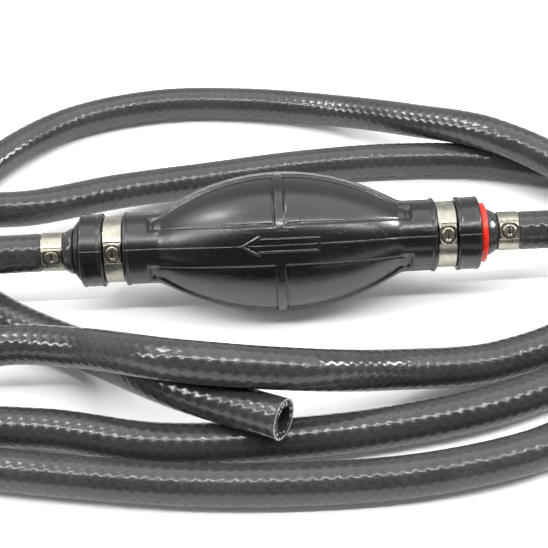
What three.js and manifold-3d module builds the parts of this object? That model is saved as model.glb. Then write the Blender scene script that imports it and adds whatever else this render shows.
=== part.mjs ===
// A squeeze bulb for priming a fuel line: a hollow rubber bulb with a one-way valve in each neck,
// a barbed fitting and two pinch clamps at each end, and a length of braided fuel hose on each side.
//
// Millimetres, +Z up. The bulb lies along X on the surface z = 0, with its middle rib at x = 0.
// Fuel flows towards -X: it comes in at +X, through the red fitting, and leaves at -X.

import * as THREE from 'three';
import { mergeVertices } from 'three/addons/utils/BufferGeometryUtils.js';
import Module from 'manifold-3d';

const wasm = await Module();
wasm.setup();

// ---- driving dimensions -------------------------------------------------------------------------

const GAP = 0.3; // clearance between touching pieces

const HOSE_R = 7.85; // 3/8 inch fuel hose, outside
const HOSE_BORE_R = 4.75;
const HOSE_SIDES = 10;
const HOSE_STEP = 38; // length of one straight facet of a hose

const BELLY_R = 28.8;
const BELLY_HALF = 51.5;
const BELLY_END_R = 13.3; // where the belly runs down into the neck
const BELLY_FULLNESS = 2.05;
const AXIS_Z = BELLY_R; // the middle rib rests on the surface
const BULB_WALL = 3;

const BAND_WIDTH = 15.4; // four raised bands run the length of the belly
const BAND_EDGE = 1.6;
const BAND_TILT = THREE.MathUtils.degToRad(35); // the front band's direction, up from -Y
const PANEL_DEPTH = 0.9; // the panels between the bands are sunk by this much
const RIB_HALF = 2;

const NECK_R = 14.6;
const NECK_BORE_R = 9.8;
const NECK_END = 81.4;
const BEAD_R = 15.1;
const BEAD_WIDTH = 2;
const GROOVE_R = 12.7;
const GROOVE_FROM = 63.7; // the groove that a neck clamp sits in
const GROOVE_TO = 71.7;

const CROWN_HALF_X = 31; // outline of the part of the wall that a hand presses in
const CROWN_HALF_Y = 16;
const CROWN_GAP = 0.4;

const FLANGE_R = 12.1;
const FLANGE_T = 2.2;
const SPIGOT_R = NECK_BORE_R - GAP;
const SPIGOT_END = 66;
const BARB_R = 4.05;
const BARB_END = 99;
const RIDGES_AT = [2.5, 6.5, 10.5]; // from the flange
const RIDGE_LENGTH = 3;
const RIDGE_HEIGHT = 0.5;
const FITTING_BORE_R = 2.9;

const SEAT_T = 2.3;
const SEAT_HOLE_R = 3.2;
const SEAL_T = 0.8;
const SEAL_R = 5.2;
const POPPET_R = 5.4;
const POPPET_T = 1.5;
const STEM_R = 1;
const STEM_LENGTH = 4;
const CAGE_IN_R = 7.6;
const CAGE_PLATE_T = 1.5;
const CAGE_LENGTH = 9.7;
const CAGE_WINDOWS = 6;
const CAGE_WINDOW_R = 1.7;
const CAGE_WINDOWS_OUT = 5; // from the axis
const SPRING_R = 3;
const SPRING_WIRE_R = 0.35;
const SPRING_TURNS = 3.5;
const VALVE_LENGTH = SEAT_T + GAP + CAGE_LENGTH + 0.4;

const BAND_T = 0.7; // thickness of the clamps' steel
const NECK_CLAMP = { r: GROOVE_R + GAP, width: 7.6, at: (GROOVE_FROM + GROOVE_TO) / 2, ear: 1.5, earHalf: 4 };
const HOSE_CLAMP = { r: HOSE_R + GAP, width: 8.6, at: 93.2, ear: 1.3, earHalf: 3.4 };

const LATHE_SIDES = 24;
const BULB_SIDES = 48;

// The hoses' centre lines. A hose lies on the surface a little over its own radius up, and passes over
// another stretch in a long low hump.
const LAY_Z = 8.2;

// From the bulb's outlet end: over and round behind the left end, along the front, round the right end,
// behind the bulb, round the left end again, over its own free end, round the right, far behind the bulb,
// and back under itself to its cut end in front of the bulb.
const OUTLET_ROUTE = [
  [-84.3, 0, AXIS_Z], [-104, 0, AXIS_Z], [-124, 0.5, 28.5], [-149, 5, 27.8], [-177, 14, 27],
  [-206, 19, 26], [-236, 11, 25.5], [-259, -13, 24], [-267, -45, 18], [-257, -77, 12],
  [-233, -98, 9], [-202, -105, LAY_Z], [-167, -97, LAY_Z], [-130, -78.5, LAY_Z], [-93, -80, LAY_Z],
  [-49, -90, LAY_Z], [-5, -91, LAY_Z], [39, -87, LAY_Z], [83, -77, LAY_Z], [123, -58, LAY_Z],
  [153, -25, LAY_Z], [162, 18, LAY_Z], [142, 58, LAY_Z], [101, 78, LAY_Z], [57, 83, LAY_Z],
  [13, 81, LAY_Z], [-31, 73, 9.5], [-72, 59, 15], [-112, 40, 22], [-152, 40, 24.5],
  [-190, 52, 17], [-228, 44, 10.5], [-251, 13, LAY_Z], [-248, -24, LAY_Z], [-222, -53, 8.7],
  [-183, -61, 10.5], [-146, -53, 14.5], [-111, -47, 21], [-79, -56.5, 27], [-39.5, -78.9, 39.4],
  [2, -82.7, 36], [41, -67, 18], [83, -55.5, 9], [121, -36, LAY_Z], [142, 5, 10.5],
  [134, 47, 19], [101, 75, 25], [65, 101, 18.5], [28, 125, 10.5], [-15, 138, LAY_Z],
  [-59, 140, LAY_Z], [-102, 126.5, LAY_Z], [-134.5, 94.5, LAY_Z], [-150, 56, LAY_Z], [-144, 17, LAY_Z],
  [-115, -15, 8.5], [-77, -42.6, 11.2], [-40, -75.8, 21.7], [-2, -97, 25.2],
];

// From the bulb's inlet end: over the outlet hose, round the right end, and along the very front.
const INLET_ROUTE = [
  [84.3, 0, AXIS_Z], [104, 0, AXIS_Z], [124, 0.5, 28.7], [149, 8, 28.2], [176, 20, 27.5],
  [202, 26, 24.5], [229, 18, 19], [251, -4, 13.5], [259, -33, 9.5], [251, -62, LAY_Z],
  [229, -84, LAY_Z], [202, -92, LAY_Z], [173, -91, LAY_Z], [146, -85, LAY_Z], [115, -91, LAY_Z],
  [86, -103, LAY_Z], [48, -111, LAY_Z], [9, -113, LAY_Z], [-34, -111, LAY_Z], [-76, -105, LAY_Z],
  [-119, -97, LAY_Z],
];

// ---- materials ----------------------------------------------------------------------------------

function finish(color, roughness, metalness) {
  return new THREE.MeshStandardMaterial({ color, roughness, metalness });
}

const blackRubber = () => finish(0x141416, 0.35, 0);
const hoseRubber = () => finish(0x3a3c3f, 0.5, 0);
const blackPlastic = () => finish(0x18181a, 0.4, 0);
const redPlastic = () => finish(0xd8261c, 0.35, 0);
const whitePlastic = () => finish(0xe6e4dc, 0.45, 0);
const steel = () => finish(0xcfc9bd, 0.25, 1);
const sealRubber = () => finish(0x2a2a2c, 0.6, 0);

// ---- building blocks ----------------------------------------------------------------------------

// Turns a closed outline of [distance along X, radius] pairs about the X axis.
function turned(outline, sides = LATHE_SIDES) {
  const points = outline.map(([along, radius]) => new THREE.Vector2(radius, along));
  return new THREE.LatheGeometry(points, sides).rotateZ(-Math.PI / 2);
}

function toSolid(geometry) {
  const bare = geometry.clone();
  bare.deleteAttribute('normal');
  bare.deleteAttribute('uv');
  const merged = mergeVertices(bare, 1e-4);
  return new wasm.Manifold(
    new wasm.Mesh({
      numProp: 3,
      vertProperties: new Float32Array(merged.attributes.position.array),
      triVerts: new Uint32Array(merged.index.array),
    }),
  );
}

function toGeometry(solid) {
  const mesh = solid.getMesh();
  const geometry = new THREE.BufferGeometry();
  geometry.setAttribute('position', new THREE.BufferAttribute(mesh.vertProperties, 3));
  geometry.setIndex(new THREE.BufferAttribute(mesh.triVerts, 1));
  geometry.computeVertexNormals();
  return geometry;
}

function named(name, geometry, material, x = 0) {
  const mesh = new THREE.Mesh(geometry, material);
  mesh.name = name;
  mesh.position.set(x, 0, AXIS_Z);
  return mesh;
}

// ---- bulb ---------------------------------------------------------------------------------------

function bellyRadius(x) {
  const drop = (BELLY_R - BELLY_END_R) * (Math.abs(x) / BELLY_HALF) ** BELLY_FULLNESS;
  return BELLY_R - drop;
}

// How far a point of the belly's surface is sunk: nothing on the bands and the middle rib.
function panelDepth(x, y, z) {
  const quarter = Math.PI / 2;
  const angle = Math.atan2(z, -y) - BAND_TILT;
  const fromBand = Math.abs(angle - quarter * Math.round(angle / quarter));
  const acrossBand = fromBand * Math.hypot(y, z) - BAND_WIDTH / 2;
  const sunkAcross = THREE.MathUtils.smoothstep(acrossBand, 0, BAND_EDGE);
  const sunkAlong = THREE.MathUtils.smoothstep(Math.abs(x), RIB_HALF, RIB_HALF + BAND_EDGE);
  const sunkEnd = THREE.MathUtils.smoothstep(BELLY_HALF - Math.abs(x), 0, 2 * BAND_EDGE);
  return PANEL_DEPTH * sunkAcross * sunkAlong * sunkEnd;
}

function bulbOutline() {
  const bellyStations = [51.5, 48, 43, 37, 31, 24, 17, 10, RIB_HALF + BAND_EDGE, RIB_HALF];
  const beadFoot = GROOVE_R + 0.6;
  const halfNeck = [
    [NECK_END, NECK_BORE_R],
    [NECK_END, NECK_R - 0.6],
    [NECK_END - 0.8, NECK_R + 0.2],
    [GROOVE_TO + BEAD_WIDTH, NECK_R],
    [GROOVE_TO + BEAD_WIDTH / 2, BEAD_R],
    [GROOVE_TO, beadFoot],
    [GROOVE_TO, GROOVE_R],
    [GROOVE_FROM, GROOVE_R],
    [GROOVE_FROM, beadFoot],
    [GROOVE_FROM - BEAD_WIDTH / 2, BEAD_R],
    [GROOVE_FROM - BEAD_WIDTH, NECK_R],
    [BELLY_HALF + 2, NECK_R],
    [BELLY_HALF + 0.8, BELLY_END_R - 0.5],
  ];
  const halfBelly = bellyStations.map((x) => [x, bellyRadius(x)]);
  const halfInside = [48, 40, 30, 20, 8].map((x) => [x, bellyRadius(x) - BULB_WALL]);
  const mouth = [[BELLY_HALF + 1, NECK_BORE_R]];
  const right = [...halfNeck, ...halfBelly];
  const inside = [...mouth, ...halfInside];
  const mirrored = (list) => list.map(([x, r]) => [-x, r]);
  const outer = [...mirrored(right), ...right.reverse()];
  const inner = [...inside, ...mirrored(inside).reverse()];
  return [...outer, ...inner, outer[0]];
}

function bulbGeometry() {
  const geometry = turned(bulbOutline(), BULB_SIDES);
  const position = geometry.attributes.position;
  for (let i = 0; i < position.count; i += 1) {
    const x = position.getX(i);
    const y = position.getY(i);
    const z = position.getZ(i);
    const radius = Math.hypot(y, z);
    const onBelly = Math.abs(x) <= BELLY_HALF && radius > bellyRadius(x) - BULB_WALL / 2;
    if (onBelly) {
      const scale = (radius - panelDepth(x, y, z)) / radius;
      position.setXYZ(i, x, y * scale, z * scale);
    }
  }
  return geometry;
}

// An upright prism with an oval outline, standing on the axis.
function crownPrism(margin) {
  const oval = new THREE.Shape();
  oval.absellipse(0, 0, CROWN_HALF_X - margin, CROWN_HALF_Y - margin, 0, 2 * Math.PI);
  return new THREE.ExtrudeGeometry(oval, { depth: 2 * BELLY_R, bevelEnabled: false, curveSegments: 14 });
}

function bulb() {
  const whole = toSolid(bulbGeometry());
  const shell = whole.subtract(toSolid(crownPrism(0)));
  const crown = whole.intersect(toSolid(crownPrism(CROWN_GAP)));
  return [
    named('squeeze_bulb', toGeometry(shell), blackRubber()),
    named('bulb_crown', toGeometry(crown), blackRubber()),
  ];
}

// ---- fittings -----------------------------------------------------------------------------------

function fittingOutline() {
  const flangeFrom = NECK_END + GAP;
  const flangeTo = flangeFrom + FLANGE_T;
  const rootR = BARB_R - RIDGE_HEIGHT;
  const ridges = RIDGES_AT.map((at) => flangeTo + at);
  const start = [SPIGOT_END, FITTING_BORE_R];
  return [
    start,
    [SPIGOT_END, SPIGOT_R - 0.6],
    [SPIGOT_END + 0.6, SPIGOT_R],
    [flangeFrom, SPIGOT_R],
    [flangeFrom, FLANGE_R - 0.5],
    [flangeFrom + 0.5, FLANGE_R],
    [flangeTo - 0.8, FLANGE_R],
    [flangeTo, FLANGE_R - 0.8],
    [flangeTo, rootR],
    ...ridges.flatMap((at) => [[at, rootR], [at, BARB_R], [at + RIDGE_LENGTH, rootR]]),
    [BARB_END, BARB_R - 1],
    [BARB_END, FITTING_BORE_R],
    start,
  ];
}

function fittings() {
  const inlet = turned(fittingOutline());
  const outlet = turned(fittingOutline()).rotateZ(Math.PI);
  return [
    named('inlet_fitting', inlet, redPlastic()),
    named('outlet_fitting', outlet, blackPlastic()),
  ];
}

// ---- one-way valves -----------------------------------------------------------------------------

// Each valve is built from its seat at x = 0 towards -X, the way the fuel flows.
const SEAL_AT = -(SEAT_T + GAP);
const POPPET_AT = SEAL_AT - SEAL_T - GAP;
const CAGE_FROM = -(SEAT_T + GAP);
const CAGE_END = CAGE_FROM - CAGE_LENGTH;

function ring(from, to, inner, outer) {
  const start = [from, inner];
  return turned([start, [to, inner], [to, outer], [from, outer], start].reverse());
}

function valveSeat() {
  return ring(-SEAT_T, 0, SEAT_HOLE_R, SPIGOT_R);
}

function valveSeal() {
  return ring(SEAL_AT - SEAL_T, SEAL_AT, SEAT_HOLE_R + 0.4, SEAL_R);
}

function poppet() {
  const back = POPPET_AT - POPPET_T;
  const tip = back - STEM_LENGTH;
  return turned([[tip, 0], [tip, STEM_R], [back, STEM_R], [back, POPPET_R], [POPPET_AT, POPPET_R], [POPPET_AT, 0]]);
}

function valveSpring() {
  const from = POPPET_AT - POPPET_T - GAP - SPRING_WIRE_R;
  const to = CAGE_END + CAGE_PLATE_T + GAP + SPRING_WIRE_R;
  const points = [];
  const count = SPRING_TURNS * 10;
  for (let i = 0; i <= count; i += 1) {
    const turn = (2 * Math.PI * SPRING_TURNS * i) / count;
    const along = THREE.MathUtils.lerp(from, to, i / count);
    points.push(new THREE.Vector3(along, SPRING_R * Math.cos(turn), SPRING_R * Math.sin(turn)));
  }
  const wire = new THREE.Shape().absarc(0, 0, SPRING_WIRE_R, 0, 2 * Math.PI);
  const extrudePath = new THREE.CatmullRomCurve3(points);
  return new THREE.ExtrudeGeometry(wire, { steps: count, curveSegments: 3, extrudePath });
}

function valveCage() {
  const plate = CAGE_END + CAGE_PLATE_T;
  const start = [CAGE_END, STEM_R + GAP];
  const cup = turned([
    start,
    [CAGE_END, SPIGOT_R],
    [CAGE_FROM, SPIGOT_R],
    [CAGE_FROM, CAGE_IN_R],
    [plate, CAGE_IN_R],
    [plate, STEM_R + GAP],
    start,
  ]);
  let solid = toSolid(cup);
  for (let i = 0; i < CAGE_WINDOWS; i += 1) {
    const angle = (2 * Math.PI * i) / CAGE_WINDOWS;
    const hole = new THREE.CylinderGeometry(CAGE_WINDOW_R, CAGE_WINDOW_R, 4 * CAGE_PLATE_T, 12);
    hole.rotateZ(Math.PI / 2);
    hole.translate(CAGE_END, CAGE_WINDOWS_OUT * Math.cos(angle), CAGE_WINDOWS_OUT * Math.sin(angle));
    solid = solid.subtract(toSolid(hole));
  }
  return toGeometry(solid);
}

function valve(side, x) {
  return [
    named(`${side}_valve_seat`, valveSeat(), whitePlastic(), x),
    named(`${side}_valve_seal`, valveSeal(), sealRubber(), x),
    named(`${side}_poppet`, poppet(), whitePlastic(), x),
    named(`${side}_valve_spring`, valveSpring(), steel(), x),
    named(`${side}_valve_cage`, valveCage(), whitePlastic(), x),
  ];
}

// ---- pinch clamps -------------------------------------------------------------------------------

// A ring whose outline rises into a flat-topped ear at angle 0.
function earedRing(radius, earHeight, earHalf) {
  const foot = Math.asin(earHalf / radius);
  const top = foot * 0.8;
  const points = [];
  const count = 28;
  for (let i = 0; i <= count; i += 1) {
    const angle = THREE.MathUtils.lerp(foot, 2 * Math.PI - foot, i / count);
    points.push(new THREE.Vector2(radius * Math.cos(angle), radius * Math.sin(angle)));
  }
  for (const angle of [-top, 0, top]) {
    const high = radius + earHeight;
    points.push(new THREE.Vector2(high * Math.cos(angle), high * Math.sin(angle)));
  }
  return points;
}

function clampGeometry({ r, width, ear, earHalf }) {
  const shape = new THREE.Shape(earedRing(r + BAND_T, ear, earHalf));
  shape.holes.push(new THREE.Path(earedRing(r, ear, earHalf - BAND_T)));
  const geometry = new THREE.ExtrudeGeometry(shape, { depth: width, bevelEnabled: false });
  geometry.translate(0, 0, -width / 2);
  return geometry.rotateY(Math.PI / 2).rotateX(-Math.PI / 2 - BAND_TILT);
}

function clamps() {
  return [
    named('inlet_neck_clamp', clampGeometry(NECK_CLAMP), steel(), NECK_CLAMP.at),
    named('outlet_neck_clamp', clampGeometry(NECK_CLAMP), steel(), -NECK_CLAMP.at),
    named('inlet_hose_clamp', clampGeometry(HOSE_CLAMP), steel(), HOSE_CLAMP.at),
    named('outlet_hose_clamp', clampGeometry(HOSE_CLAMP), steel(), -HOSE_CLAMP.at),
  ];
}

// ---- hoses --------------------------------------------------------------------------------------

function circlePoints(radius) {
  const points = [];
  for (let i = 0; i < HOSE_SIDES; i += 1) {
    const angle = (2 * Math.PI * i) / HOSE_SIDES;
    points.push(new THREE.Vector2(radius * Math.cos(angle), radius * Math.sin(angle)));
  }
  return points;
}

function hose(name, route) {
  const points = route.map(([x, y, z]) => new THREE.Vector3(x, y, z - AXIS_Z));
  const extrudePath = new THREE.CatmullRomCurve3(points, false, 'centripetal');
  const section = new THREE.Shape(circlePoints(HOSE_R));
  section.holes.push(new THREE.Path(circlePoints(HOSE_BORE_R)));
  const steps = Math.round(extrudePath.getLength() / HOSE_STEP);
  return named(name, new THREE.ExtrudeGeometry(section, { steps, extrudePath }), hoseRubber());
}

// ---- assembly -----------------------------------------------------------------------------------

const assembly = new THREE.Group();
assembly.add(
  ...bulb(),
  ...fittings(),
  ...valve('inlet', SPIGOT_END - GAP),
  ...valve('outlet', VALVE_LENGTH - SPIGOT_END + GAP),
  ...clamps(),
  hose('outlet_hose', OUTLET_ROUTE),
  hose('inlet_hose', INLET_ROUTE),
);

export default assembly;
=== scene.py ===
"""A fuel line primer bulb, with pinch clamps and braided hoses, lying in a loose coil on a white table.

Shapes are worked out in millimetres in the CAD's frame, and turned into metres when a mesh is made.
An angle goes round the bulb's axis from +Y towards +Z, so "up from the front" is pi less that angle.
"""

import math

import bpy
import numpy as np
from mathutils import Matrix, Vector


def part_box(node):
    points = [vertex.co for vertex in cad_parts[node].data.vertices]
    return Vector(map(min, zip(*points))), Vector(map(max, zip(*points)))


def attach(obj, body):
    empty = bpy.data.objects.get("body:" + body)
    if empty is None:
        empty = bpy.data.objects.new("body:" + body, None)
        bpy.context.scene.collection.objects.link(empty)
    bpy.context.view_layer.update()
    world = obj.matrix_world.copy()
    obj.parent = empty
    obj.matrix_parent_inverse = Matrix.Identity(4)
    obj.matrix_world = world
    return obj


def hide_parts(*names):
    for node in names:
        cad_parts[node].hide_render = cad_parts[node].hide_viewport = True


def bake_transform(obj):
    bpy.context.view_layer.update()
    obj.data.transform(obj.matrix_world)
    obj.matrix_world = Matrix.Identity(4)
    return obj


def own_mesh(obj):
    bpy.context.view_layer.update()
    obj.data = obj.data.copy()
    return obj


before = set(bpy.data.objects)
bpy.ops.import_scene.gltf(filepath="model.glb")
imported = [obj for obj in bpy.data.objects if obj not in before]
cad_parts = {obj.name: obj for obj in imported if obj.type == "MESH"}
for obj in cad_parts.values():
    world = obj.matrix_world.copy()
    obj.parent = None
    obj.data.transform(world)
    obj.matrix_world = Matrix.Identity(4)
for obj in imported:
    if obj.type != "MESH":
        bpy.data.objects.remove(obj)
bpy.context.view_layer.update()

MM = 0.001

# ---- camera -------------------------------------------------------------------------------------

CAMERA_AT = (-0.00305, -0.42151, 0.36639)
CAMERA_DOWN = math.radians(40.09)
CAMERA_ROLL = math.radians(2.67)
CAMERA_LENS = 86.06

# ---- hoses (mm) ---------------------------------------------------------------------------------

HOSE_R = 7.85
HOSE_BORE_R = 4.75
HOSE_STEP = 0.75
HOSE_SIDES = 72
BORE_STEP = 6
CURVE_POINTS = 160  # points between two route points, before they are evened out
SQUEEZED = 0.75  # how far a clamp presses the hose in
# Distances from the hose's end: where its flare on the fitting fades out, and its squeeze comes and goes.
FLARE_OVER = (0.3, 5.2)
CLAMP_STARTS = (3.4, 5)
CLAMP_ENDS = (13.0, 14.6)
# The rings of points across the cut end, from the outside in.
CUT_EDGE_R = (HOSE_R - 0.05, HOSE_R - 0.35)
CUT_FACE_R = (HOSE_R - 0.75, 6.6, 5.9, 5.2, HOSE_BORE_R + 0.1)
BRAID_PERIOD = 4.5
BRAID_CELLS = 12
BRAID_HEIGHT = 0.036
AXIS_Z = 28.8  # the height of the bulb's axis
LAY_Z = 8.2  # the height of a hose's centre line where it lies on the table

OUTLET_ROUTE = [
    (-84.3, 0, AXIS_Z), (-104, 0, AXIS_Z), (-124, 0.5, 28.5), (-149, 5, 27.8), (-177, 14, 27),
    (-206, 19, 26), (-236, 11, 25.5), (-259, -13, 24), (-267, -45, 18), (-257, -77, 12),
    (-233, -98, 9), (-202, -105, LAY_Z), (-167, -97, LAY_Z), (-130, -78.5, LAY_Z), (-93, -80, LAY_Z),
    (-49, -90, LAY_Z), (-5, -91, LAY_Z), (39, -87, LAY_Z), (83, -77, LAY_Z), (123, -58, LAY_Z),
    (153, -25, LAY_Z), (162, 18, LAY_Z), (142, 58, LAY_Z), (101, 78, LAY_Z), (57, 83, LAY_Z),
    (13, 81, LAY_Z), (-31, 73, 9.5), (-72, 59, 15), (-112, 40, 22), (-152, 40, 24.5),
    (-190, 52, 17), (-228, 44, 10.5), (-251, 13, LAY_Z), (-248, -24, LAY_Z), (-222, -53, 8.7),
    (-183, -61, 10.5), (-146, -53, 14.5), (-111, -47, 21), (-79, -56.5, 27), (-39.5, -78.9, 39.4),
    (2, -82.7, 36), (41, -67, 18), (83, -55.5, 9), (121, -36, LAY_Z), (142, 5, 10.5),
    (134, 47, 19), (101, 75, 25), (65, 101, 18.5), (28, 125, 10.5), (-15, 138, LAY_Z),
    (-59, 140, LAY_Z), (-102, 126.5, LAY_Z), (-134.5, 94.5, LAY_Z), (-150, 56, LAY_Z), (-144, 17, LAY_Z),
    (-115, -15, 8.5), (-77, -42.6, 11.2), (-40, -75.8, 21.7), (-2, -97, 25.2),
]

INLET_ROUTE = [
    (84.3, 0, AXIS_Z), (104, 0, AXIS_Z), (124, 0.5, 28.7), (149, 8, 28.2), (176, 20, 27.5),
    (202, 26, 24.5), (229, 18, 19), (251, -4, 13.5), (259, -33, 9.5), (251, -62, LAY_Z),
    (229, -84, LAY_Z), (202, -92, LAY_Z), (173, -91, LAY_Z), (146, -85, LAY_Z), (115, -91, LAY_Z),
    (86, -103, LAY_Z), (48, -111, LAY_Z), (9, -113, LAY_Z), (-34, -111, LAY_Z), (-76, -105, LAY_Z),
    (-119, -97, LAY_Z),
]

# ---- bulb (mm) ----------------------------------------------------------------------------------

BELLY_R = 28.8
BELLY_HALF = 51.5
BELLY_END_R = 13.3
BELLY_FULLNESS = 2.05
BULB_WALL = 3
NECK_BORE_R = 9.8
NECK_END = 81.4
NECK_R = 14.6
RUN_IN = 30  # how sharply a band bends where the belly runs into the neck
FRONT_BAND = math.pi - math.radians(35.5)  # the angle of the raised band that faces the camera
BAND_WIDTH = 15.4
PANEL_DEPTH = 1.0
PANEL_EDGE = 0.8
PANEL_FADES = (0.4, 4.0)  # from the belly's end: where the panels reach their depth
RUN_IN_PAST = 2.5  # how far past the belly's end the bands run into the neck
# Distances from the middle, over which the mould seam stops for the neck clamp and starts again.
GROOVE_STARTS = (63.0, 63.6)
GROOVE_ENDS = (71.8, 72.4)
BAND_ROUND = 1.8  # how far inside a band's edge its rounding starts
RIB_HALF = 1.6
RIB_EDGE = 0.6
RIB_GROOVE_DEPTH = 0.3
BAND_GROOVE_DEPTH = 0.25
SEAM_HEIGHT = 0.14
SEAM_HALF = 0.22
ARROW_HEIGHT = 0.36
ARROW_LINE = (0.18, 0.5)  # from an arrow line's middle: where its top ends and where it meets the band
CAVITY_HALF = 48
CAVITY_RINGS = 33
NECK_BORE_STOPS = (NECK_END, 70, 60, 52.5)  # where the neck bore's rings of points are
# The mesh is finest where the arrow is: along X within ARROW_ZONE, and round the band within ARROW_ACROSS.
ARROW_ZONE = 17
ARROW_STEP = 0.22
BELLY_FROM = 17.3
BELLY_STEP = 0.4
NECK_STEP = 0.35
ARROW_ACROSS = 5
ACROSS_STEP = 0.2
COARSE_SIDES = 300

# Each neck's outline, from the belly to the end: distance from the middle and radius.
NECK_OUTLINE = [
    (51.5, 13.3), (52.0, 13.15), (52.5, 13.3), (53.2, 13.95), (54.0, 14.6), (61.5, 14.6), (61.9, 15.0),
    (62.6, 15.2), (63.2, 15.0), (63.55, 14.4), (63.65, 13.0), (63.8, 12.7), (71.6, 12.7),
    (71.75, 13.0), (71.85, 14.4), (72.2, 15.0), (72.8, 15.2), (73.5, 15.0), (74.0, 14.75),
    (79.7, 14.85), (80.3, 15.1), (80.9, 14.9), (81.3, 14.4), (81.4, 13.6),
]

# The arrow's outline on the front band: along X, and round the band.
ARROW = [
    (-15, 0), (-8.3, 3.65), (-8.3, 2.4), (15, 2.4), (15, -2.4), (-8.3, -2.4), (-8.3, -3.65), (-15, 0),
]

# ---- clamps (mm): place, inner radius, width, ear's angle up from the front, ear's half length, height

CLAMPS = {
    "outlet_neck_clamp": (-67.7, 12.95, 7.7, 31, 4.2, 0.8),
    "inlet_neck_clamp": (67.7, 12.95, 7.7, 37, 4.2, 0.8),
    "outlet_hose_clamp": (-93.1, 7.25, 8.8, 22, 3.4, 0.6),
    "inlet_hose_clamp": (93.4, 7.25, 8.4, 40, 3.7, 0.6),
}
CLAMP_T = 0.6
CLAMP_SIDES = 480
CLAMP_RINGS = 61
LAP_HEIGHT = 0.25  # the step where the band's end lies over its start
LAP_FADES = (14, 17)
EDGE_WEAR = 0.15
EDGE_WEAR_WIDTH = 0.35
EAR_OVAL = (0.84, 0.4)  # the pressed oval's half length and half width, as shares of the ear and the band
EAR_SLOT_HALF = 0.55
EAR_SLOT_DEPTH = 0.45
SHADE_OVER = 0.45  # how dark the ear's steel is before it takes the shaded material

# ---- fittings (mm): outline from the flange's inner face outwards, distance from the middle and radius

BLACK_FLANGE = [
    (81.6, 11.8), (81.7, 12.1), (82.7, 12.1), (82.8, 11.7), (82.9, 10.9), (83.7, 10.8), (83.8, 10.5),
]
RED_FLANGE = [(81.6, 11.4), (81.75, 11.95), (82.1, 12.2), (83.7, 12.2), (84.1, 11.9), (84.25, 11.3)]
SPIGOT_R = 9.5
SPIGOT_END = 66
SPIGOT_EDGE = 0.5
BARB_R = 4.05
BARB_END = 99
RIDGES_AT = (88, 92, 96)
RIDGE_LENGTH = 2.4
RIDGE_HEIGHT = 0.5
TAIL_TIP_TAPER = 0.9
FITTING_BORE_R = 2.9
FITTING_SIDES = 128
FITTING_STEP = 0.5

# ---- valve springs (mm) -------------------------------------------------------------------------

SPRING_R = 3
SPRING_WIRE_R = 0.35
SPRING_TURNS = 3.5
SPRING_SIDES = 12
SPRING_TURN_STEPS = 48
SPRING_TIP = 0.05  # the wire's ends, as a share of its radius

# ---- table and lights (m) -----------------------------------------------------------------------

TABLE_HALF = 3
TABLE_GLOW = 0.1
PURE_WHITE = (1, 1, 1)
WARM_WHITE = (1, 0.995, 0.98)
# The room is darker in front than behind: its strength against the direction's Y.
ROOM = {"From Min": -0.3, "From Max": 0.5, "To Min": 0.1, "To Max": 0.75}

# Each lamp: place, what it is aimed at, size, watts and colour.
LAMPS = {
    "top_softbox": ((0, 0.22, 1.2), (0, 0.22, 0), (2.6, 1.24), 19, PURE_WHITE),
    "front_strip": ((0, -0.45, 1.15), (0, 0, 0), (3.2, 0.02), 21, WARM_WHITE),
    "left_lamp": ((-0.66, 0.2, 1.1), (0, 0, 0), (0.2, 0.2), 4, WARM_WHITE),
    "far_left_lamp": ((-1.5, -0.4, 1.0), (0, 0, 0), (0.3, 0.3), 6, WARM_WHITE),
    "right_lamp": ((1.35, 0.12, 0.84), (0, 0, 0), (0.3, 0.3), 12, WARM_WHITE),
}

# ---- each material's darkest and lightest colour ------------------------------------------------

NOISE_RANGE = (0.3, 0.7)  # between which a noise texture's values mostly lie

# The places of a colour mix node's sockets, which share their names with those of its other types.
MIX_FIRST_COLOUR = 6
MIX_SECOND_COLOUR = 7
MIX_RESULT_COLOUR = 2

TONES = {
    "hose_rubber": ((0.018, 0.0186, 0.0192), (0.05, 0.0515, 0.0528)),
    "cut_rubber": ((0.008, 0.008, 0.008), (0.6, 0.6, 0.55)),
    "cut_edge_rubber": ((0.25, 0.25, 0.24), (0.6, 0.6, 0.57)),
    # Painted shade: the bore's rubber is darker than the hose's outside, standing in for the shade inside
    # the tube.
    "bore_rubber_in_shade": ((0.004, 0.004, 0.004), (0.012, 0.012, 0.012)),
    "bulb_rubber": ((0.005, 0.005, 0.0055), (0.1, 0.1, 0.1)),
    "steel": ((0.22, 0.207, 0.172), (0.5, 0.48, 0.415)),
    "steel_in_shade": ((0.035, 0.03, 0.024), (0.12, 0.105, 0.085)),
    "red_plastic": ((0.78, 0.016, 0.008), (0.9, 0.03, 0.014)),
    "black_plastic": ((0.008, 0.008, 0.009), (0.016, 0.016, 0.017)),
    "white_plastic": ((0.74, 0.73, 0.68), (0.82, 0.81, 0.77)),
    "seal_rubber": ((0.018, 0.018, 0.018), (0.035, 0.035, 0.035)),
    "white_table": ((0.86, 0.865, 0.86), (0.88, 0.88, 0.88)),
}


# ---- meshes -------------------------------------------------------------------------------------


def make_object(name, points, faces, materials, uv=None, material_index=None):
    mesh = bpy.data.meshes.new(name)
    mesh.from_pydata((np.asarray(points) * MM).tolist(), [], faces.tolist())
    for material in materials:
        mesh.materials.append(material)
    if uv is not None:
        layer = mesh.uv_layers.new(name="UVMap")
        layer.data.foreach_set("uv", np.asarray(uv, np.float32).ravel())
    if material_index is not None:
        mesh.polygons.foreach_set("material_index", np.asarray(material_index, np.int32))
    mesh.polygons.foreach_set("use_smooth", np.ones(len(mesh.polygons), bool))
    mesh.update()
    obj = bpy.data.objects.new(name, mesh)
    bpy.context.scene.collection.objects.link(obj)
    return obj


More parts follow.
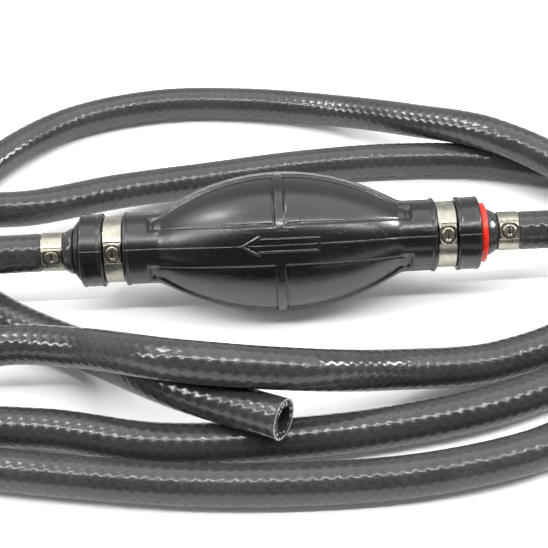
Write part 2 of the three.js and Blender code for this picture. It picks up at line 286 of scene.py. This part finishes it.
def ring_faces(rows, sides, closed):
    """Quads between rings of points. A closed surface also joins its last ring to its first."""
    row = np.arange(rows if closed else rows - 1)[:, None]
    side = np.arange(sides)[None, :]
    here, ahead = row * sides, (row + 1) % rows * sides
    turn = (side + 1) % sides
    return np.stack([here + side, here + turn, ahead + turn, ahead + side], -1).reshape(-1, 4)


def ring_uv(along, sides):
    """Each quad's corners: share of the way round, and distance along in mm. It has no seam."""
    ahead = np.append(along[1:], along[-1])[:, None]
    here = np.asarray(along)[:, None]
    side = np.arange(sides)[None, :] / sides
    shape = (len(along), sides)
    u0, u1 = np.broadcast_to(side, shape), np.broadcast_to(side + 1 / sides, shape)
    v0, v1 = np.broadcast_to(here, shape), np.broadcast_to(ahead, shape)
    corners = [np.stack([u, v], -1) for u, v in ((u0, v0), (u1, v0), (u1, v1), (u0, v1))]
    return np.stack(corners, 2).reshape(-1, 2)


def turned(x, radius, angle):
    """Points round the bulb's axis: x and radius for each ring, and one angle for each side."""
    x, radius, angle = np.broadcast_arrays(x[:, None], radius, angle[None, :])
    return np.stack([x, radius * np.cos(angle), AXIS_Z + radius * np.sin(angle)], -1).reshape(-1, 3)


def smoothstep(value, low, high):
    """0 below low and 1 above high, with a smooth rise between."""
    t = np.clip((value - low) / (high - low), 0, 1)
    return t * t * (3 - 2 * t)


def ridge(distance, half):
    """1 in the middle of a line, falling off smoothly on both sides."""
    return np.exp(-((distance / half) ** 2))


def dense(points, step):
    """The outline's points, with more put in so that none are further apart than step."""
    points = np.array(points, float)
    filled = [points[:1]]
    for start, end in zip(points, points[1:]):
        count = max(1, math.ceil(np.linalg.norm(end - start) / step))
        share = np.arange(1, count + 1)[:, None] / count
        filled.append(start + (end - start) * share)
    return np.vstack(filled)


# ---- materials ----------------------------------------------------------------------------------


class Look:
    """A node material being built: its Principled shader and the nodes that feed it."""

    def __init__(self, name, **values):
        self.tones = TONES[name]
        self.material = bpy.data.materials.new(name)
        self.material.use_nodes = True
        self.tree = self.material.node_tree
        self.shader = self.tree.nodes["Principled BSDF"]
        self.set(**values)

    def plug(self, socket, value):
        if isinstance(value, bpy.types.NodeSocket):
            self.tree.links.new(value, socket)
        else:
            socket.default_value = value

    def set(self, **values):
        for name, value in values.items():
            self.plug(self.shader.inputs[name.replace("_", " ")], value)

    def node(self, kind, *inputs, **settings):
        node = self.tree.nodes.new(kind)
        for name, value in settings.items():
            setattr(node, name, value)
        for place, value in inputs:
            self.plug(node.inputs[place], value)
        return node

    def place(self, stretch=(1, 1, 1)):
        """The object's own coordinates, in metres, stretched."""
        coordinates = self.node("ShaderNodeTexCoord").outputs["Object"]
        mapping = self.node("ShaderNodeMapping", ("Vector", coordinates), ("Scale", stretch))
        return mapping.outputs["Vector"]

    def noise(self, scale, detail, stretch=(1, 1, 1)):
        inputs = (("Vector", self.place(stretch)), ("Scale", scale), ("Detail", detail))
        return self.node("ShaderNodeTexNoise", *inputs).outputs["Fac"]

    def specks(self, scale):
        """The distance to the nearest of many scattered points."""
        inputs = (("Vector", self.place()), ("Scale", scale))
        return self.node("ShaderNodeTexVoronoi", *inputs).outputs["Distance"]

    def math(self, operation, a, b):
        return self.node("ShaderNodeMath", (0, a), (1, b), operation=operation).outputs[0]

    def spread(self, value, low, high, to_low, to_high):
        """value's range from low to high, mapped onto the range from to_low to to_high."""
        inputs = (("Value", value), ("From Min", low), ("From Max", high))
        outputs = (("To Min", to_low), ("To Max", to_high))
        return self.node("ShaderNodeMapRange", *inputs, *outputs).outputs["Result"]

    def paint(self, share):
        """The base colour, from the material's darkest at 0 to its lightest at 1."""
        dark, light = self.tones
        inputs = (("Factor", share), (MIX_FIRST_COLOUR, (*dark, 1)), (MIX_SECOND_COLOUR, (*light, 1)))
        mixed = self.node("ShaderNodeMix", *inputs, data_type="RGBA")
        self.set(Base_Color=mixed.outputs[MIX_RESULT_COLOUR])

    def gloss(self, value, lowest, highest):
        """The roughness, following a noise from its usual lowest to its usual highest."""
        self.set(Roughness=self.spread(value, *NOISE_RANGE, lowest, highest))

    def bump(self, height, distance, strength, under=None):
        inputs = [("Height", height), ("Distance", distance), ("Strength", strength)]
        if under is not None:
            inputs.append(("Normal", under))
        return self.node("ShaderNodeBump", *inputs).outputs["Normal"]


def braid_height(look):
    """The diamond pattern of the yarn under the hose's skin, from -1 to 1."""
    uv = look.node("ShaderNodeUVMap", uv_map="UVMap").outputs["UV"]
    parts = look.node("ShaderNodeSeparateXYZ", ("Vector", uv))
    around = look.math("MULTIPLY", parts.outputs["X"], 2 * math.pi * BRAID_CELLS)
    along = look.math("MULTIPLY", parts.outputs["Y"], 2 * math.pi / BRAID_PERIOD)
    return look.math("MULTIPLY", look.math("COSINE", around, 0), look.math("COSINE", along, 0))


def hose_look():
    """Glossy hose rubber: a speckle, a slow change of tone, and the braid showing through."""
    look = Look("hose_rubber", Specular_IOR_Level=0.5)
    braid = braid_height(look)
    off_middle = look.math("SUBTRACT", look.noise(scale=1500, detail=2), 0.5)
    speckle = look.math("MULTIPLY", off_middle, 1.8)
    woven = look.math("ADD", look.math("MULTIPLY", braid, 0.12), speckle)
    slow = look.spread(look.noise(scale=60, detail=5), *NOISE_RANGE, *NOISE_RANGE)
    look.paint(look.math("ADD", woven, slow))
    look.gloss(look.noise(scale=220, detail=3), 0.14, 0.24)
    fine = look.bump(look.noise(scale=1300, detail=3), distance=0.00004, strength=0.6)
    look.set(Normal=look.bump(braid, distance=0.000035, strength=0.9, under=fine))
    return look.material


def cut_look():
    """The cut face: pale yarn ends in black rubber."""
    look = Look("cut_rubber", Roughness=0.7)
    speck = look.specks(scale=700)
    look.paint(look.spread(speck, 0.2, 0.45, 1, 0))
    look.set(Normal=look.bump(speck, distance=0.0003, strength=0.6))
    return look.material


def edge_look():
    """A pale ring at the cut's outer edge, much lighter than the hose rubber."""
    look = Look("cut_edge_rubber")
    look.paint(look.noise(scale=700, detail=3))
    look.gloss(look.noise(scale=900, detail=2), 0.4, 0.6)
    return look.material


def bore_look():
    """The inside of a hose: black rubber painted darker than the hose's outside, as painted shade in the
    bore.
    """
    look = Look("bore_rubber_in_shade", Specular_IOR_Level=0.2)
    look.paint(look.noise(scale=800, detail=3))
    look.gloss(look.noise(scale=900, detail=2), 0.7, 0.9)
    return look.material


def bulb_look():
    """Satin moulded rubber: dust specks in its colour, bloom and scratches in its gloss."""
    look = Look("bulb_rubber", Specular_IOR_Level=0.65)
    look.paint(look.spread(look.specks(scale=420), 0.03, 0.07, 1, 0))
    bloom = look.spread(look.noise(scale=28, detail=6), 0.35, 0.65, 0.2, 0.32)
    scratch = look.noise(scale=900, detail=2, stretch=(0.12, 1, 1))
    look.set(Roughness=look.math("ADD", bloom, look.spread(scratch, 0.6, 0.75, 0, 0.12)))
    fine = look.bump(look.noise(scale=1500, detail=3), distance=0.00003, strength=0.5)
    uneven = look.noise(scale=110, detail=3)
    look.set(Normal=look.bump(uneven, distance=0.0002, strength=0.35, under=fine))
    return look.material


def steel_look(name, rough):
    """Rolled steel: grain that runs round the band, and stains."""
    look = Look(name, Metallic=1.0, Anisotropic=0.3)
    grain = look.noise(scale=1800, detail=3, stretch=(1, 0.06, 0.06))
    look.paint(look.noise(scale=260, detail=5))
    look.gloss(grain, rough, rough + 0.14)
    fine = look.bump(grain, distance=0.00002, strength=0.4)
    dents = look.noise(scale=420, detail=3)
    look.set(Normal=look.bump(dents, distance=0.00006, strength=0.4, under=fine))
    return look.material


def plastic_look(name, rough):
    """Moulded plastic: a slight mottle in its colour, and a fine texture in its gloss."""
    look = Look(name)
    look.paint(look.spread(look.noise(scale=160, detail=4), 0.35, 0.65, 0, 1))
    look.gloss(look.noise(scale=500, detail=3), rough - 0.05, rough + 0.08)
    look.set(Normal=look.bump(look.noise(scale=900, detail=3), distance=0.00003, strength=0.6))
    return look.material


def floor_look():
    """A white tabletop, which glows slightly so that its shadows stay pale."""
    look = Look("white_table", Specular_IOR_Level=0.2)
    look.set(Emission_Color=(1, 1, 0.98, 1), Emission_Strength=TABLE_GLOW)
    look.paint(look.noise(scale=6, detail=2))
    look.gloss(look.noise(scale=300, detail=3), 0.5, 0.6)
    return look.material


STEEL = steel_look("steel", 0.24)
STEEL_SHADE = steel_look("steel_in_shade", 0.4)
BULB_RUBBER = bulb_look()
HOSE_RUBBER = hose_look()
CUT_RUBBER = cut_look()
CUT_EDGE = edge_look()
BORE = bore_look()
RED = plastic_look("red_plastic", 0.3)
BLACK = plastic_look("black_plastic", 0.32)
WHITE = plastic_look("white_plastic", 0.4)
SEAL = plastic_look("seal_rubber", 0.55)


# ---- camera -------------------------------------------------------------------------------------


def make_camera():
    data = bpy.data.cameras.new("camera")
    data.lens = CAMERA_LENS
    data.clip_start = 0.01
    data.clip_end = 20
    camera = bpy.data.objects.new("camera", data)
    tilt = Matrix.Rotation(math.pi / 2 - CAMERA_DOWN, 4, "X")
    roll = Matrix.Rotation(-CAMERA_ROLL, 4, "Z")
    camera.matrix_world = Matrix.Translation(CAMERA_AT) @ tilt @ roll
    bpy.context.scene.collection.objects.link(camera)
    bpy.context.scene.camera = camera


# ---- hoses --------------------------------------------------------------------------------------


def smooth_path(route, step):
    """Evenly spaced points on a centripetal Catmull-Rom curve through the route, and their distances."""
    route = np.array(route, float)
    p = np.vstack([2 * route[0] - route[1], route, 2 * route[-1] - route[-2]])
    knots = np.sqrt(np.linalg.norm(np.diff(p, axis=0), axis=1))
    t = np.linspace(0, 1, CURVE_POINTS, endpoint=False)[:, None]
    stretches = []
    for i in range(1, len(p) - 2):
        before, here, after = knots[i - 1 : i + 2]
        p0, p1, p2, p3 = p[i - 1 : i + 3]
        m1 = here * ((p1 - p0) / before - (p2 - p0) / (before + here) + (p2 - p1) / here)
        m2 = here * ((p2 - p1) / here - (p3 - p1) / (here + after) + (p3 - p2) / after)
        start = (2 * t**3 - 3 * t**2 + 1) * p1 + (t**3 - 2 * t**2 + t) * m1
        end = (3 * t**2 - 2 * t**3) * p2 + (t**3 - t**2) * m2
        stretches.append(start + end)
    fine = np.vstack([*stretches, route[-1:]])
    along = np.append(0, np.cumsum(np.linalg.norm(np.diff(fine, axis=0), axis=1)))
    even = np.linspace(0, along[-1], round(along[-1] / step) + 1)
    return np.column_stack([np.interp(even, along, fine[:, k]) for k in range(3)]), even


def carried_frames(path):
    """Two directions across the path at each point, with no twist from one point to the next."""
    tangent = np.gradient(path, axis=0)
    tangent /= np.linalg.norm(tangent, axis=1)[:, None]
    side = np.cross(tangent[0], (0, 0, 1))
    sides = []
    for direction in tangent:
        side = side - direction * np.dot(side, direction)
        side = side / np.linalg.norm(side)
        sides.append(side)
    first = np.array(sides)
    return first, np.cross(tangent, first)


def round_angles(sides):
    return np.arange(sides) / sides * 2 * math.pi


def tube_points(path, rows, radius, angle):
    """Rings round the path: rows says which of its points each ring is at."""
    first, second = carried_frames(path)
    outwards = first[rows][:, None] * np.cos(angle)[:, None]
    outwards = outwards + second[rows][:, None] * np.sin(angle)[:, None]
    return (path[rows][:, None] + radius[:, :, None] * outwards).reshape(-1, 3)


def hose_radius(along, angle, flare):
    """The hose's outside: the braid under its skin, its end pushed out by the fitting, and its clamp."""
    cells = np.cos(2 * math.pi * along / BRAID_PERIOD)[:, None] * np.cos(BRAID_CELLS * angle)[None, :]
    pushed = flare * (1 - smoothstep(along, *FLARE_OVER))
    clamped = SQUEEZED * smoothstep(along, *CLAMP_STARTS) * (1 - smoothstep(along, *CLAMP_ENDS))
    return HOSE_R + BRAID_HEIGHT * cells + (pushed - clamped)[:, None]


def make_hose(name, node, route, flare):
    """A braided hose: its outside, its cut end and its bore, in one closed skin."""
    path, along = smooth_path(route, HOSE_STEP)
    angle = round_angles(HOSE_SIDES)
    face = np.array([*CUT_EDGE_R, *CUT_FACE_R])
    bore_rows = np.arange(len(path) - 1, -1, -round(BORE_STEP / HOSE_STEP))
    rows = np.concatenate([np.arange(len(path)), np.full(len(face), len(path) - 1), bore_rows])
    radius = np.vstack([
        hose_radius(along, angle, flare),
        np.repeat(face[:, None], HOSE_SIDES, 1),
        np.full((len(bore_rows), HOSE_SIDES), HOSE_BORE_R),
    ])
    materials = [HOSE_RUBBER, CUT_RUBBER, CUT_EDGE, BORE]
    slot = np.full(len(rows), materials.index(HOSE_RUBBER))
    slot[len(path) : len(path) + len(CUT_EDGE_R)] = materials.index(CUT_EDGE)
    slot[len(path) + len(CUT_EDGE_R) : len(path) + len(face)] = materials.index(CUT_RUBBER)
    # The bore takes the darker rubber, as painted shade.
    slot[len(path) + len(face) : -1] = materials.index(BORE)
    hose = make_object(
        name,
        tube_points(path, rows, radius, angle),
        ring_faces(len(rows), HOSE_SIDES, True),
        materials,
        ring_uv(along[rows], HOSE_SIDES),
        np.repeat(slot, HOSE_SIDES),
    )
    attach(hose, "root")
    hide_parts(node)


# ---- bulb ---------------------------------------------------------------------------------------


def belly_radius(x):
    """The belly's outside, from its fullest at the middle to where a neck starts."""
    return BELLY_R - (BELLY_R - BELLY_END_R) * (np.abs(x) / BELLY_HALF) ** BELLY_FULLNESS


def band_distance(angle, radius):
    """How far round the bulb each point is from the centre of the nearest raised band."""
    quarter = math.pi / 2
    turn = angle - FRONT_BAND
    return np.abs(turn - quarter * np.round(turn / quarter)) * radius


def arrow_distance(x, across):
    """The distance from each point of the front band to the arrow's outline."""
    nearest = np.full(np.broadcast(x, across).shape, 1e3)
    for (x0, y0), (x1, y1) in zip(ARROW, ARROW[1:]):
        dx, dy = x1 - x0, y1 - y0
        share = np.clip(((x - x0) * dx + (across - y0) * dy) / (dx * dx + dy * dy), 0, 1)
        nearest = np.minimum(nearest, np.hypot(x - x0 - share * dx, across - y0 - share * dy))
    return nearest


def bulb_radius(x, angle):
    """The bulb's outside: bands, sunk panels, middle rib, grooved necks, mould seam and arrow."""
    x, angle = x[:, None], angle[None, :]
    far = np.abs(x)
    neck = np.interp(far, *np.array(NECK_OUTLINE).T)
    between = np.where(far < BELLY_HALF, belly_radius(x), neck)
    from_band = band_distance(angle, between) - BAND_WIDTH / 2
    run_in = (belly_radius(x) ** RUN_IN + NECK_R**RUN_IN) ** (1 / RUN_IN)
    on_band = np.where(far < BELLY_HALF + RUN_IN_PAST, run_in, neck)
    plain = on_band + (between - on_band) * smoothstep(from_band, -BAND_ROUND, PANEL_EDGE)
    across = smoothstep(from_band, 0, PANEL_EDGE)
    along = smoothstep(far, RIB_HALF, RIB_HALF + RIB_EDGE)
    end = smoothstep(BELLY_HALF - far, *PANEL_FADES)
    sunk = PANEL_DEPTH * across * along * end
    inside = smoothstep(from_band, 0.5, 1.2) * end
    groove = RIB_GROOVE_DEPTH * ridge(far - RIB_HALF - 0.7, 0.45) * inside
    groove = groove + BAND_GROOVE_DEPTH * ridge(from_band - 0.9, 0.4) * along * end
    turn = (angle - FRONT_BAND + math.pi / 2) % math.pi - math.pi / 2
    under_clamp = smoothstep(far, *GROOVE_STARTS) * (1 - smoothstep(far, *GROOVE_ENDS))
    on_seam = ridge(turn * plain, SEAM_HALF) * (1 - under_clamp)
    drawn = ARROW_HEIGHT * (1 - smoothstep(arrow_distance(x, (FRONT_BAND - angle) * plain), *ARROW_LINE))
    raised = np.maximum(SEAM_HEIGHT * on_seam, drawn)
    return plain - sunk - groove + raised


def bulb_stations():
    """Distances along the bulb, close together at the arrow and at the necks' edges."""
    arrow = np.arange(-ARROW_ZONE, ARROW_ZONE, ARROW_STEP)
    belly = np.arange(BELLY_FROM, BELLY_HALF, BELLY_STEP)
    neck = dense(NECK_OUTLINE, NECK_STEP)[:, 0]
    right = np.concatenate([belly, neck])
    return np.concatenate([-right[::-1], arrow, right])


def bulb_angles():
    """Angles round the bulb, close together on the front band's middle."""
    fine = np.arange(-ARROW_ACROSS, ARROW_ACROSS, ACROSS_STEP) / BELLY_R
    rest = np.linspace(fine[-1], fine[0] + 2 * math.pi, COARSE_SIDES)[1:-1]
    return FRONT_BAND + np.concatenate([fine, rest])


def make_bulb():
    """The bulb as one skin."""
    outside = bulb_stations()
    angle = bulb_angles()
    cavity = np.linspace(CAVITY_HALF, -CAVITY_HALF, CAVITY_RINGS)
    stops = np.array(NECK_BORE_STOPS)
    bore = np.full(len(stops), NECK_BORE_R)
    inside = np.concatenate([stops, cavity, -stops[::-1]])
    open_r = np.concatenate([bore, belly_radius(cavity) - BULB_WALL, bore])
    radius = np.vstack([bulb_radius(outside, angle), np.repeat(open_r[:, None], len(angle), 1)])
    rings = np.concatenate([outside, inside])
    faces = ring_faces(len(rings), len(angle), True)
    bulb = make_object("bulb_skin", turned(rings, radius, angle), faces, [BULB_RUBBER])
    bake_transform(bulb)
    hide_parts("squeeze_bulb", "bulb_crown")


# ---- clamps -------------------------------------------------------------------------------------


def clamp_ear(x, around, width, half, height):
    """The ear's rise over the band, and how dark its steel is: round its pressed oval and in its slot."""
    pad = smoothstep(half - np.abs(around), 0, 0.7) * smoothstep(width / 2 - np.abs(x), 0, 0.6)
    long, wide = EAR_OVAL
    oval = np.hypot(around / (long * half), x / (wide * width))
    outline = ridge(oval - 0.95, 0.16)
    dish = 1 - smoothstep(oval, 0.35, 0.9)
    slot = ridge(x, EAR_SLOT_HALF) * (1 - smoothstep(np.abs(around), 0.36 * half, 0.52 * half))
    rise = height * pad * (1 - 0.75 * outline - 0.5 * dish) - EAR_SLOT_DEPTH * slot * pad
    return rise, pad * np.maximum(outline, slot)


def make_clamp(name, place, inner, width, ear_up, ear_half, ear_height):
    """A one-ear pinch clamp: a band that laps over itself, with its ear facing up from the front."""
    angle = round_angles(CLAMP_SIDES)
    x = np.linspace(-width / 2, width / 2, CLAMP_RINGS)
    outer = inner + CLAMP_T
    ear = math.pi - math.radians(ear_up)
    around = ((angle - ear + math.pi) % (2 * math.pi) - math.pi) * outer
    rise, dark = clamp_ear(x[:, None], around[None, :], width, ear_half, ear_height)
    lap_starts = smoothstep(-around, ear_half + 0.4, ear_half + 0.55)
    lap = LAP_HEIGHT * lap_starts * (1 - smoothstep(-around, *LAP_FADES))
    worn = EDGE_WEAR * smoothstep(np.abs(x), width / 2 - EDGE_WEAR_WIDTH, width / 2) ** 2
    outside = outer + rise + lap[None, :] - worn[:, None]
    radius = np.vstack([outside, np.full((2, len(angle)), inner)])
    rings = place + np.append(x, [width / 2, -width / 2])
    faces = ring_faces(len(rings), len(angle), True)
    shaded = np.vstack([dark > SHADE_OVER, np.zeros((2, len(angle)), bool)]).astype(int).ravel()
    points = turned(rings, radius, angle)
    clamp = make_object(name + "_band", points, faces, [STEEL, STEEL_SHADE], material_index=shaded)
    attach(clamp, "root")
    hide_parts(name)


# ---- fittings -----------------------------------------------------------------------------------


def fitting_outline(flange):
    """Once round the wall: from the spigot's inner end over flange and tail, and back in the bore."""
    ridges = []
    tail_r = BARB_R - RIDGE_HEIGHT
    for at in RIDGES_AT:
        ridges += [(at, tail_r), (at + 0.1, BARB_R), (at + RIDGE_LENGTH, tail_r)]
    inner_x, face_x = flange[0][0], flange[-1][0]
    outside = [
        (SPIGOT_END, FITTING_BORE_R), (SPIGOT_END, SPIGOT_R - SPIGOT_EDGE),
        (SPIGOT_END + SPIGOT_EDGE, SPIGOT_R), (inner_x, SPIGOT_R), *flange, (face_x, tail_r), *ridges,
        (BARB_END, BARB_R - TAIL_TIP_TAPER), (BARB_END, FITTING_BORE_R),
    ]
    return dense([*outside, outside[0]], FITTING_STEP)[:-1]


def make_fitting(name, node, flange, direction, material):
    """A flanged fitting, turned round the bulb's axis."""
    outline = fitting_outline(flange)
    angle = round_angles(FITTING_SIDES)
    radius = np.repeat(outline[:, 1:], len(angle), 1)
    points = turned(outline[:, 0], radius, angle)
    if direction < 0:
        points[:, :2] *= -1
    fitting = make_object(name, points, ring_faces(len(outline), len(angle), True), [material])
    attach(fitting, "root")
    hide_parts(node)


# ---- valves: coil springs, and the CAD's own nodes with better materials -------------------------


def make_spring(side):
    """A coil spring in the CAD spring's place."""
    low, high = (np.array(corner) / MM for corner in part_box(f"{side}_valve_spring"))
    turn = np.linspace(0, 2 * math.pi * SPRING_TURNS, round(SPRING_TURNS * SPRING_TURN_STEPS))
    x = np.linspace(high[0] - SPRING_WIRE_R, low[0] + SPRING_WIRE_R, len(turn))
    path = np.column_stack([x, SPRING_R * np.cos(turn), AXIS_Z + SPRING_R * np.sin(turn)])
    rows = np.concatenate([[0], np.arange(len(path)), [len(path) - 1]])
    radius = np.full((len(rows), 1), SPRING_WIRE_R)
    radius[[0, -1]] = SPRING_WIRE_R * SPRING_TIP
    points = tube_points(path, rows, radius, round_angles(SPRING_SIDES))
    faces = ring_faces(len(rows), SPRING_SIDES, True)
    spring = make_object(f"{side}_coil_spring", points, faces, [STEEL])
    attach(spring, "root")
    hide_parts(f"{side}_valve_spring")
    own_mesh(spring)


def dress_valves():
    """Better materials on the CAD's own valve pieces."""
    dressed = {"_seat": WHITE, "_cage": WHITE, "_poppet": WHITE, "_seal": SEAL}
    for name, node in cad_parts.items():
        for ending, material in dressed.items():
            if name.endswith(ending):
                node.data.materials.clear()
                node.data.materials.append(material)


# ---- table and lights ---------------------------------------------------------------------------


def make_table():
    half = TABLE_HALF / MM
    corners = np.array([(-half, -half, 0), (half, -half, 0), (half, half, 0), (-half, half, 0)])
    make_object("table", corners, np.array([[0, 1, 2, 3]]), [floor_look()])


def area_light(name, at, aim, size, power, color):
    data = bpy.data.lights.new(name, "AREA")
    data.shape = "RECTANGLE"
    data.size, data.size_y = size
    data.energy = power
    data.color = color
    lamp = bpy.data.objects.new(name, data)
    back = (Vector(at) - Vector(aim)).normalized()
    lamp.matrix_world = Matrix.Translation(at) @ back.to_track_quat("Z", "Y").to_matrix().to_4x4()
    bpy.context.scene.collection.objects.link(lamp)


def make_lights():
    world = bpy.data.worlds.new("room")
    world.use_nodes = True
    nodes, links = world.node_tree.nodes, world.node_tree.links
    direction = nodes.new("ShaderNodeTexCoord").outputs["Generated"]
    parts = nodes.new("ShaderNodeSeparateXYZ")
    brightness = nodes.new("ShaderNodeMapRange")
    for name, value in ROOM.items():
        brightness.inputs[name].default_value = value
    links.new(direction, parts.inputs["Vector"])
    links.new(parts.outputs["Y"], brightness.inputs["Value"])
    links.new(brightness.outputs["Result"], nodes["Background"].inputs["Strength"])
    nodes["Background"].inputs["Color"].default_value = (1, 1, 1, 1)
    bpy.context.scene.world = world
    for name, settings in LAMPS.items():
        area_light(name, *settings)


make_camera()
make_hose("outlet_hose_braided", "outlet_hose", OUTLET_ROUTE, 1.7)
make_hose("inlet_hose_braided", "inlet_hose", INLET_ROUTE, 1.8)
make_bulb()
for clamp_name, sizes in CLAMPS.items():
    make_clamp(clamp_name, *sizes)
make_fitting("outlet_flange", "outlet_fitting", BLACK_FLANGE, -1, BLACK)
make_fitting("inlet_flange", "inlet_fitting", RED_FLANGE, 1, RED)
for valve_side in ("outlet", "inlet"):
    make_spring(valve_side)
dress_valves()
make_table()
make_lights()
bpy.context.scene.view_settings.view_transform = "Standard"
